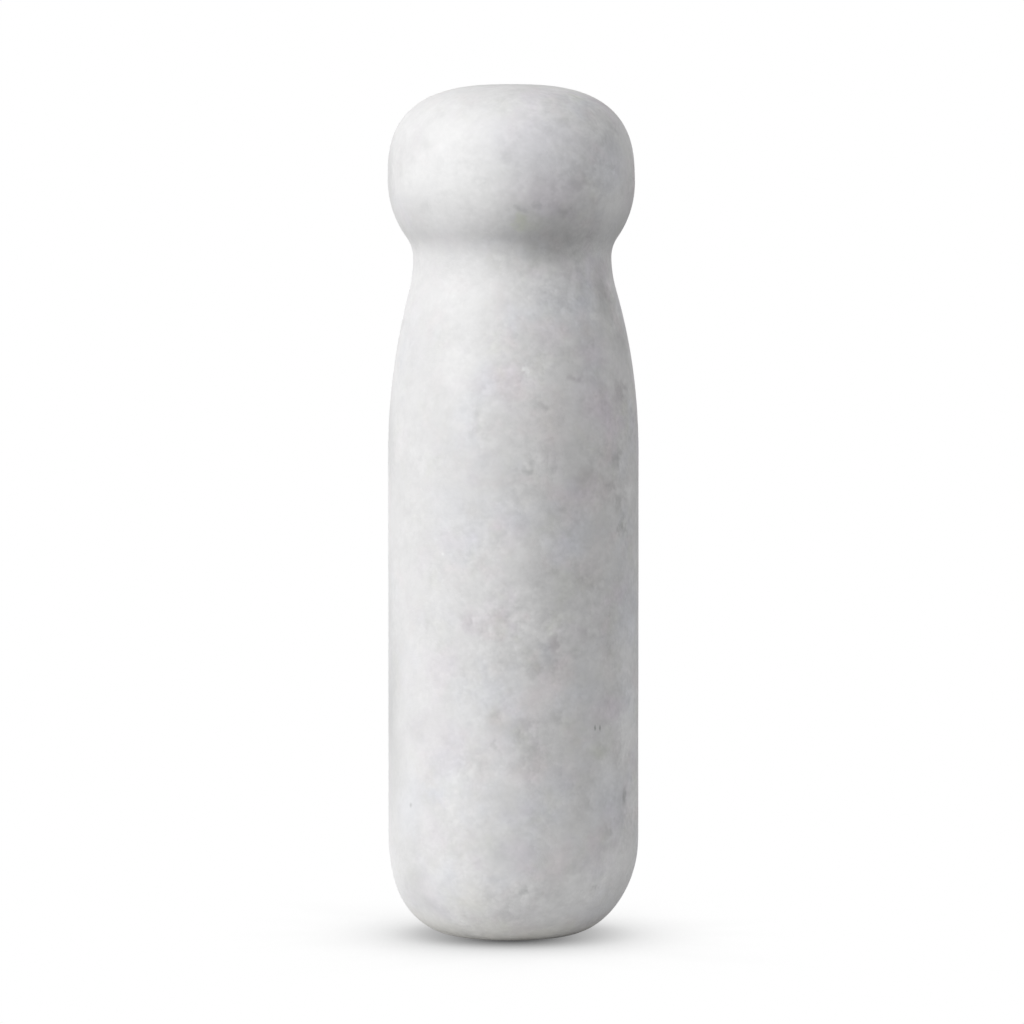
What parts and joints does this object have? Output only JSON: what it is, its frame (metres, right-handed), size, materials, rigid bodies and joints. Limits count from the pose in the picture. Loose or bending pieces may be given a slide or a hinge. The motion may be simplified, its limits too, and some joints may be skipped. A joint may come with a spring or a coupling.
{
  "type": "pestle",
  "caption": "Solid stone pestle with a rounded knob head, a drawn-in neck, a thick straight grip and a rounded grinding heel with a small flat to stand on.",
  "frame": {"origin": "centre of the small flat foot on the heel, which the pestle stands on", "axes": "+Z along the pestle's axis, from the heel to the knob head; X and Y are alike, because the pestle is round"},
  "size_m": [0.0442, 0.0442, 0.15],
  "materials": {
    "marble": "honed"
  },
  "bodies": {
    "root": {"pestle": "marble"}
  },
  "joints": []
}
